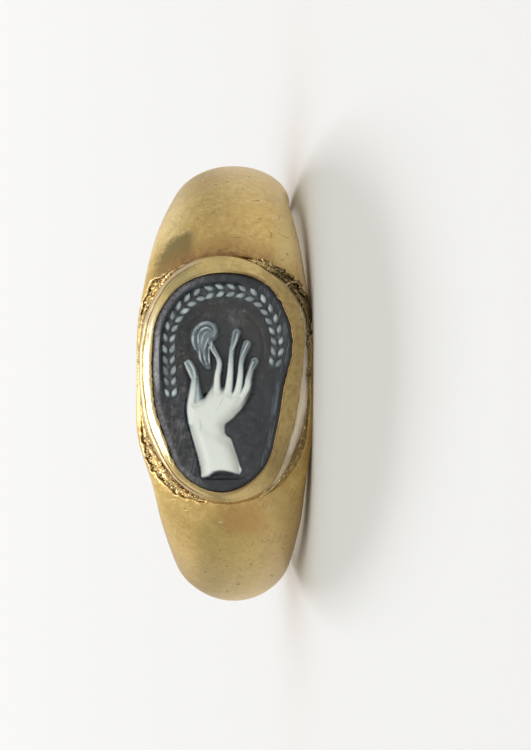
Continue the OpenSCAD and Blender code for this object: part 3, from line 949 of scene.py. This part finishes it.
def carve(x, z, inset):
    """The carved face: its rise, and how much of the milky layer is left on it; that share also
    holds painted highlights on the fingertips and painted shade in grooves and along the hollow.
    """
    bevel = RIM_RISE + 0.14 - 0.15 * (1 - np.clip(inset / BEVEL_WIDE, 0, 1))
    lower = np.maximum(ease(x, 0.4, -1.6), ease(z, -0.4, -2.0))
    right = ease(z, 1.0, -1.0)
    flush = FIELD_RISE + mix(0.12, 0.01, right)
    bevel = mix(bevel, flush, lower * mix(0.7, 1.0, right))
    ground = mix(bevel, FIELD_RISE, ease(inset, BEVEL_WIDE, mix(0.62, 0.95, lower)))
    sunk = depth_inside(x, z, smoothed(HOLLOW_EDGE, OUTLINE_STEPS))
    wall = mix(0.62, 1.5, ease(z, 0.4, -1.0))
    # The hollow's brink: a shallow groove, and a band of painted shade made by lowering pale.
    shaded_brink = bell(sunk - 0.08, 0.12) * ease(x, 0.2, 1.6)
    spots = np.stack([x, 0 * x, z], -1)
    ground = (ground - HOLLOW * ease(sunk, -0.1, wall) * ease(x, -3.0, 0.4) - 0.025 * shaded_brink
              + 0.02 * lumps(spots, 0.7, 2, 2.0))
    film = lumps(spots, 0.3, 3, 9.0)
    arch = ease(inset, 0.5, 0.66) * ease(inset, 1.4, 1.15)
    arch *= in_sector(np.degrees(np.arctan2(z, x)), 16, 92)
    pale = 0.05 + 0.05 * film + arch * np.clip(0.07 + 0.16 * film, 0, 1) - 0.05 * shaded_brink
    pale = pale + 0.07 * ease(sunk, 0.2, 1.4) * ease(x, -1.0, 0.6)

    outline = smoothed(PALM_EDGE, OUTLINE_STEPS)
    palm = depth_inside(x, z, outline)
    longer = outline - np.outer(0.8 * ease(outline[:, 0], -4.3, -4.7), [1, 0])
    width = mix(mix(0.75, 0.55, ease(z, 0.2, 0.9)), 0.8, ease(x, -2.2, -3.2))
    shoulder = np.clip(depth_inside(x, z, longer) / width, 0, 1)
    knuckles = ease(x, -1.6, -0.7) * ease(z, 0.8, 0.4)
    crisp = ease(z, 0.4, 0.9)
    top = along(PALM_RISE, 1, np.clip(x, -5.1, 0))
    top = top - 0.12 * bell((x + 2.9) * 0.85 - (z - 0.3) * 0.5, 0.2) * (z < 1.2)
    slope = mix(1 - (1 - shoulder) ** 3, ease(palm, -0.1, 0.55), knuckles)
    slope = np.maximum(slope, 0.16 * (1 - crisp))
    slope = slope * mix(1, ease(palm, -0.06, 0.12), ease(x, -4.1, -4.5))
    palm_rise = FIELD_RISE - 0.12 + (top - FIELD_RISE + 0.12) * slope
    palm_rise = np.where(palm > 0, palm_rise, -9.0)
    shaded_groove = bell(np.clip(-palm, 0, 9), mix(0.2, 0.08, crisp))
    shaded_groove = mix(0.045, 0.14, crisp) * shaded_groove * (palm < 0) * (x < -0.7)
    cut = 0.09 * bell(x + 5.1, 0.06) * ease(abs(z), 1.4, 0.9)
    shaded_groove = np.maximum(shaded_groove, cut)
    ground = ground - shaded_groove
    rise = np.maximum(ground, palm_rise)
    whiter = mix(0.45, 1.0, ease(palm, 0.0, mix(0.09, 0.25, knuckles)))
    web, aside, _ = ridge(x, z, WEB)
    whiter = np.where(web > rise - 0.3, np.maximum(whiter, 0.85), whiter)
    thin = 0.82 - 0.45 * ease(aside, 0.0, 0.9)
    # Off the hand the groove round it is painted darker, a painted shade.
    pale = np.where(palm > 0, whiter, np.where(web > rise, thin, pale - shaded_groove * 0.3))
    rise = joined_softly(rise, web, 0.1)

    ear = depth_inside(x, z, smoothed(EAR_BODY, OUTLINE_STEPS))
    ear_rise = 3.16 - 0.3 * (1 - np.sqrt(np.clip(ear / 0.3, 0, 1)))
    rise = np.where(ear > 0, joined_softly(rise, ear_rise, 0.03), rise)
    pale = np.where(ear > 0, np.maximum(pale, 0.34 + 0.13 * ease(ear, 0, 0.1)), pale)
    patchy = lumps(spots, 0.45, 2, 5.0)
    for rows in EAR:
        fold, aside, _ = ridge(x, z, rows)
        on = fold > rise
        share = 0.42 + (0.2 + 0.5 * patchy) * np.clip(1 - aside, 0, 1)
        pale = np.where(on, np.maximum(pale, share), pale)
        rise = joined_softly(rise, fold, 0.04)

    for rows in FINGERS:
        is_thumb = rows is FINGERS[-1]
        finger, aside, way = ridge(x, z, rows)
        on = finger > rise - 0.02
        faded = 1 - 0.44 * ease(way, 0.28, 0.78)
        tip = ease(way, 0.72, 0.86)
        # Fingertips get a pale loop near their edges, a painted highlight.
        tip_highlight_loop = 0.35 + 0.17 * is_thumb + 0.17 * bell(aside - 0.6, 0.25)
        share = mix(faded * mix(1, 0.5, ease(aside, 0.45, 1.1)), tip_highlight_loop, tip)
        pale = np.where(on, np.maximum(share, np.where(palm > 0, pale, 0)), pale)
        finger = finger - 0.05 * tip * ease(aside, 0.55, 0.2)
        rise = joined_softly(rise, finger, 0.04 + 0.16 * ease(x, -0.1, -0.8))
    # The glints are painted near white, as painted highlights.
    for rows in GLINTS:
        glint, aside, _ = ridge(x, z, rows)
        pale = np.where(glint > rise, np.maximum(pale, 0.86 - 0.4 * aside), pale)
        rise = np.maximum(rise, glint)

    return rise, np.clip(pale, 0, 1)


def make_cameo(finish):
    """The stone with its carving, as one closed solid."""
    rows, columns = 331, 251
    u, v = np.meshgrid(np.linspace(-1, 1, rows), np.linspace(-1, 1, columns), indexing="ij")
    disc_x = u * np.sqrt(1 - v * v / 2)
    disc_z = v * np.sqrt(1 - u * u / 2)
    degrees = np.degrees(np.arctan2(disc_z, disc_x))
    share = np.hypot(disc_x, disc_z)
    edge = oval(STONE, degrees)
    x = edge * share * np.cos(np.radians(degrees))
    z = edge * share * np.sin(np.radians(degrees))
    inset = edge * (1 - share)
    rise, pale = carve(x, z, inset)
    face = np.stack([x, -FINGER_R - rise, z], -1).reshape(-1, 3)

    index = np.arange(len(face)).reshape(rows, columns)
    rim = np.concatenate([index[:-1, 0], index[-1, :-1], index[:0:-1, -1], index[0, :0:-1]])
    bottom = -FINGER_R - BED_RISE - STONE_GAP
    low = face[rim].copy()
    low[:, 1] = bottom
    points = np.vstack([face, low, [[0, bottom, 0]]])
    n = len(rim)
    below = len(face) + np.arange(n)
    after = (np.arange(n) + 1) % n
    faces = woven(rows, columns, False, False)
    faces += np.column_stack([rim, below, below[after], rim[after]]).tolist()
    faces += np.column_stack([below, np.full(n, len(points) - 1), below[after]]).tolist()
    piece = formed("cameo", points, faces, finish)
    for name, values in {"pale": pale, "inset": inset}.items():
        mark(piece, name, np.concatenate([values.ravel(), np.zeros(n + 1)]))
    return piece


class Growth(Nodes):
    """A Geometry Nodes tree with named inputs, of which the base comes first."""

    family = "GeometryNode"

    def __init__(self, name, inputs):
        self.tree = bpy.data.node_groups.new(name, "GeometryNodeTree")
        face = self.tree.interface
        for label, kind in {"Geometry": "Geometry", **inputs, "Finish": "Material"}.items():
            face.new_socket(label, in_out="INPUT", socket_type=f"NodeSocket{kind}")
        face.new_socket("Geometry", in_out="OUTPUT", socket_type="NodeSocketGeometry")
        self.given = self.node("NodeGroupInput").outputs
        self.base = self.given["Geometry"]

    def kept(self, name):
        """The number that each vertex was marked with."""
        return self.read("InputNamedAttribute", 0, {"Name": name}, data_type="FLOAT")

    def chance(self, low, high):
        """A random number or vector between two for each point."""
        kind, first, output = ("FLOAT_VECTOR", 0, 0) if isinstance(low, tuple) else ("FLOAT", 2, 1)
        inputs = {first: low, first + 1: high, "Seed": self.given["Seed"]}
        return self.node("FunctionNodeRandomValue", inputs, data_type=kind).outputs[output]

    def scaled(self, vector, share):
        """A vector times a number."""
        inputs = {0: vector, "Scale": share}
        return self.node("ShaderNodeVectorMath", inputs, operation="SCALE")

    def pushed(self, geometry, offset):
        """The geometry with its points moved."""
        return self.node("SetPosition", {"Geometry": geometry, "Offset": offset})

    def even_curve(self, inputs, **settings):
        """The base's edges as a curve of evenly spaced points."""
        curve = self.node("MeshToCurve", {"Mesh": self.base})
        return self.node("ResampleCurve", {"Curve": curve, **inputs}, **settings)

    def end(self, geometry):
        """Ends the tree in real geometry that has its finish."""
        real = self.node("RealizeInstances", {"Geometry": geometry})
        clad = self.node("SetMaterial", {"Geometry": real, "Material": self.given["Finish"]})
        self.node("NodeGroupOutput", {0: clad})
        return self

    def grow(self, points, edges, faces, values, finish, marks=()):
        """Runs the tree on a mesh and keeps the result as a plain laid-down piece."""
        name = self.tree.name
        base = meshed(name + "_base", points, edges, faces)
        host = linked(name + "_host", base)
        for label, numbers in dict(marks).items():
            mark(host, label, numbers)
        modifier = host.modifiers.new(name, "NODES")
        modifier.node_group = self.tree
        values = {**values, "Finish": finish}
        for item in self.tree.interface.items_tree:
            if item.in_out == "INPUT" and item.name in values:
                modifier[item.identifier] = values[item.name]
        ready = host.evaluated_get(bpy.context.evaluated_depsgraph_get())
        mesh = bpy.data.meshes.new_from_object(ready)
        mesh.name = name
        bpy.data.objects.remove(host)
        bpy.data.meshes.remove(base)
        return place(mesh, name, finish)


def leaf_pair():
    """Two pointed leaves side by side, tips towards +x, each with a rib along its middle."""
    cuts = [(-0.5, 0.08, 0.08), (-0.42, 0.45, 0.5), (-0.25, 0.85, 0.85), (-0.05, 1.0, 1.0),
            (0.15, 0.9, 0.95), (0.33, 0.58, 0.75), (0.46, 0.2, 0.4), (0.52, 0.03, 0.1)]
    across = [(-1, -0.5), (-1, 0.2), (-0.78, 0.6), (-0.35, 0.62), (0, 1.0), (0.35, 0.62),
              (0.78, 0.6), (1, 0.2), (1, -0.5)]
    points, faces = [], []
    for side in (-1, 1):
        first = len(points)
        turn = math.radians(side * LEAF_TURN)
        for at, wide, high in cuts:
            for w, h in across:
                along_x = at * LEAF_LONG + 0.03 * (1 - abs(w))
                aside = w * wide * LEAF_WIDE / 2
                x = along_x * math.cos(turn) - aside * math.sin(turn)
                z = along_x * math.sin(turn) + aside * math.cos(turn) + side * LEAF_ASIDE
                points.append((x, -h * LEAF_HIGH * (high if h > 0 else 1), z))
        n = len(across)
        rings = [[first + i * n + j for j in range(n)] for i in range(len(cuts))]
        for a, b in zip(rings, rings[1:]):
            faces += [[a[j], a[(j + 1) % n], b[(j + 1) % n], b[j]] for j in range(n)]
        faces += [rings[0][::-1], rings[-1]]
    mesh = meshed("leaf_pair", points, [], faces)
    turn_outwards(mesh)
    return linked("leaf_pair", mesh)


def leaf_arch_tree():
    """The pattern again and again along the base, turned the way it runs."""
    g = Growth("leaf_arch", {
        "Pair": "Object", "Spacing": "Float", "Unevenness": "Float", "Seed": "Int",
    })
    even = g.even_curve({"Length": g.given["Spacing"]}, mode="LENGTH")
    tangent = {"Vector": g.node("InputTangent")}
    turn = g.node("FunctionNodeAlignRotationToVector", tangent, axis="X", pivot_axis="Y")
    pair = g.node("ObjectInfo", {"Object": g.given["Pair"]})
    smallest = 1 - Reading(g, g.given["Unevenness"])
    leaves = g.node("InstanceOnPoints", {
        "Points": even, "Instance": pair.outputs["Geometry"], "Rotation": turn,
        "Scale": g.chance(smallest, 1.0),
    })
    return g.end(leaves)


def make_leaf_arch(finish):
    """Two boughs of paired leaves that climb from the lower ends and meet at the top."""
    pattern = leaf_pair()
    points, edges = [], []
    for start, end in BOUGHS:
        degrees = np.linspace(start, end, 60)
        r = oval(STONE, degrees) - ARCH_INSET
        first = len(points)
        points += around(r, -FINGER_R - FIELD_RISE, np.radians(degrees)).tolist()
        edges += [(first + i, first + i + 1) for i in range(len(r) - 1)]
    values = {"Pair": pattern, "Spacing": LEAF_STEP, "Unevenness": 0.12, "Seed": 4}
    piece = leaf_arch_tree().grow(points, edges, [], values, finish)
    bpy.data.objects.remove(pattern)
    spots = spots_of(piece.data) / MM
    height = -((spots[:, 1] - SHIFT) * TILT_COS - (spots[:, 2] - LIFT) * TILT_SIN)
    patchy = lumps(spots, 0.5, 2, 6.0)
    shown = ease(height - FINGER_R - FIELD_RISE, 0.02, 0.15)
    mark(piece, "pale", 0.32 + (0.42 + 0.35 * patchy) * shown)
    mark(piece, "inset", np.full(len(spots), ARCH_INSET))
    return piece


def solder_tree():
    """An uneven round bead along the base."""
    g = Growth("solder_bead", {"Thickness": "Float", "Unevenness": "Float", "Steps": "Int"})
    width = (g.clouds(2.2, 3.0) + 0.5) * g.kept("bulk")
    even = g.even_curve({"Count": g.given["Steps"]})
    bead = g.node("CurveToMesh", {
        "Curve": g.node("SetCurveRadius", {"Curve": even, "Radius": width}),
        "Profile Curve": g.node("CurvePrimitiveCircle", {
            "Resolution": 12, "Radius": g.given["Thickness"],
        }),
        "Scale": g.node("InputRadius"),
    })
    push = (g.clouds(7.0, 3.0) - 0.5) * g.given["Unevenness"]
    return g.end(g.pushed(bead, g.scaled(g.node("InputNormal"), push)))


def make_solder(finish):
    """Solder that ran round the collar's foot, thick where the channel is wide."""
    degrees = np.arange(0, 360, 1.0)
    a = np.radians(degrees)
    room = np.clip(oval(SEAT, degrees) - oval(EDGE, degrees) - oval(FLARE, degrees), 0, 1)
    r = collar_foot(degrees) + 0.25 * room
    points = around(r, seat_floor(r * np.cos(a), filled(degrees)) + 0.02, a)
    edges = [(i, (i + 1) % len(a)) for i in range(len(a))]
    values = {"Thickness": 1.0, "Unevenness": 0.12, "Steps": 700}
    marks = {"bulk": (0.05 + 0.2 * room) * (1 - 0.55 * in_sector(degrees, 262, 52, 30))}
    return solder_tree().grow(points, edges, [], values, finish, marks)


def grains_tree():
    """Small spheres strewn over the base, squeezed, turned and roughened."""
    g = Growth("gold_grains", {
        "Density": "Float", "Smallest": "Float", "Largest": "Float", "Seed": "Int",
    })
    spread = g.node("DistributePointsOnFaces", {
        "Mesh": g.base, "Density": g.kept("share") * g.given["Density"], "Seed": g.given["Seed"],
    }, distribute_method="RANDOM")
    size = g.chance(g.given["Smallest"], g.given["Largest"])
    squeeze = g.chance((0.5, 0.5, 0.3), (1.6, 1.2, 0.9))
    heap = g.node("InstanceOnPoints", {
        "Points": spread,
        "Instance": g.node("MeshUVSphere", {"Segments": 8, "Rings": 6, "Radius": 1.0}),
        "Rotation": g.node("FunctionNodeEulerToRotation", {0: g.chance((0.0,) * 3, (6.2,) * 3)}),
        "Scale": g.scaled(squeeze, size),
    })
    real = g.node("RealizeInstances", {"Geometry": heap})
    crust = g.node("ShaderNodeTexNoise", {"Scale": 9.0, "Detail": 2.0}).outputs[1]
    centred = g.node("ShaderNodeVectorMath", {0: crust, 1: (0.5,) * 3}, operation="SUBTRACT")
    return g.end(g.pushed(real, g.scaled(centred, 0.2)))


def make_grains(finish):
    """Grains of torn and spattered gold that fill the channel where it is rough."""
    degrees = np.arange(0, 360, 2.0)
    a = np.radians(degrees)[:, None]
    inner = collar_foot(degrees)[:, None] - 0.02
    clear = mix(0.06, -0.1, in_sector(degrees, 96, 80, 20))
    outer = oval(SEAT, degrees)[:, None] + clear[:, None]
    outer = np.minimum(outer, GRAIN_LIMIT / np.maximum(np.abs(np.sin(a)), 0.1))
    columns = 4
    r = mix(inner, np.maximum(outer, inner + 0.04), np.linspace(0, 1, columns))
    y = seat_floor(r * np.cos(a), filled(degrees)[:, None]) - 0.1 * torn(degrees)[:, None]
    points = around(r, y, a)
    faces = woven(*points.shape[:2], True, False)
    share = np.repeat(torn(degrees), columns)
    values = {"Density": 70.0, "Smallest": 0.04, "Largest": 0.12, "Seed": 11}
    return grains_tree().grow(points, [], faces, values, finish, {"share": share})


def make_floor():
    f = Finish(bpy.data.materials.new("pale_floor"))
    f.colour = (0.82, 0.82, 0.81)
    reach = 2.5
    corners = [(-reach, -reach, 0), (reach, -reach, 0), (reach, reach, 0), (-reach, reach, 0)]
    mesh = meshed("floor", corners, [], [(0, 1, 2, 3)])
    mesh.materials.append(f.coat(1.0, 0.0, specular=0.0))
    return linked("floor", mesh)


def softbox(name, spot, size, power, colour=(1, 1, 1)):
    """A rectangular light that is aimed at the ring."""
    lamp = bpy.data.lights.new(name, "AREA")
    lamp.shape = "RECTANGLE"
    lamp.size, lamp.size_y = size
    lamp.energy = power
    lamp.color = colour
    box = linked(name, lamp)
    box.location = spot
    box.rotation_euler = (Vector() - Vector(spot)).to_track_quat("-Z", "Y").to_euler()
    return box


def make_surroundings():
    """A pale room, brighter above and on the camera's side."""
    world = bpy.data.worlds.new("room")
    bpy.context.scene.world = world
    f = Finish(world, "OutputWorld")
    _, y, z = f.parts(f.node("TexCoord").outputs["Generated"])
    glow = 0.36 + y.ease(0.6, -0.4) * 0.12 + z.ease(-0.05, 0.6) * 0.39
    f.end("Background", {"Color": (1.0, 0.985, 0.93, 1), "Strength": glow})


def make_lights():
    """Two softboxes that are only mirrored in the ring, a weak one in front that is not, and
    a far one low behind, whose only part is the long shadow on the floor."""
    softbox("over_camera", (-0.06, -0.307, 0.596), (0.34, 0.42), 2.8).visible_diffuse = False
    softbox("above", (0.0, 0.594, 0.508), (3.0, 0.8), 3.4).visible_diffuse = False
    softbox("front", (-0.4, -2.0, 0.7), (0.8, 0.5), 4.0).visible_glossy = False
    cool = (0.97, 0.98, 1.1)
    softbox("behind", (0.0, 4.5, 0.75), (0.6, 0.46), 390.0, cool).visible_glossy = False


def make_camera():
    """The photograph's view: nearly along the bezel's axis, rolled so that +x is up."""
    yaw, pitch = math.radians(2.37), math.radians(1.14)
    toward = np.array([
        -math.sin(pitch), -math.cos(pitch) * math.cos(yaw), -math.cos(pitch) * math.sin(yaw)
    ])
    up = np.array([1.0, 0.0, 0.0]) - toward * toward[0]
    up /= np.linalg.norm(up)
    right = np.cross(up, toward)
    distance = 420
    pixels_per_mm = 18.83
    frame_height, sensor = 750, 36
    aim = right * 1.65 + up * 0.457
    lens = bpy.data.cameras.new("camera")
    lens.sensor_width = sensor
    lens.lens = pixels_per_mm * distance * sensor / frame_height
    lens.clip_start = 0.01
    camera = linked("camera", lens)
    axes = Matrix(turned([right, up, toward]).tolist()).transposed()
    place_at = Vector(laid(aim + toward * distance)[0])
    camera.matrix_world = Matrix.Translation(place_at) @ axes.to_4x4()
    bpy.context.scene.camera = camera


make_camera()
make_surroundings()
make_lights()
floor = make_floor()

stone_finish = layered_stone()
grain_finish = grainy_gold()

hoop = make_hoop(worn_gold())
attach(hoop, "root")
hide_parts("hoop_and_bezel")

collar = make_collar(burnished_gold())
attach(collar, "root")

solder = make_solder(grain_finish)
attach(solder, "root")

grains = make_grains(grain_finish)
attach(grains, "root")

cameo = make_cameo(stone_finish)
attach(cameo, "root")
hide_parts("cameo")

leaf_arch = make_leaf_arch(stone_finish)
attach(leaf_arch, "root")

view = bpy.context.scene.view_settings
view.view_transform = "Standard"
view.look = "None"
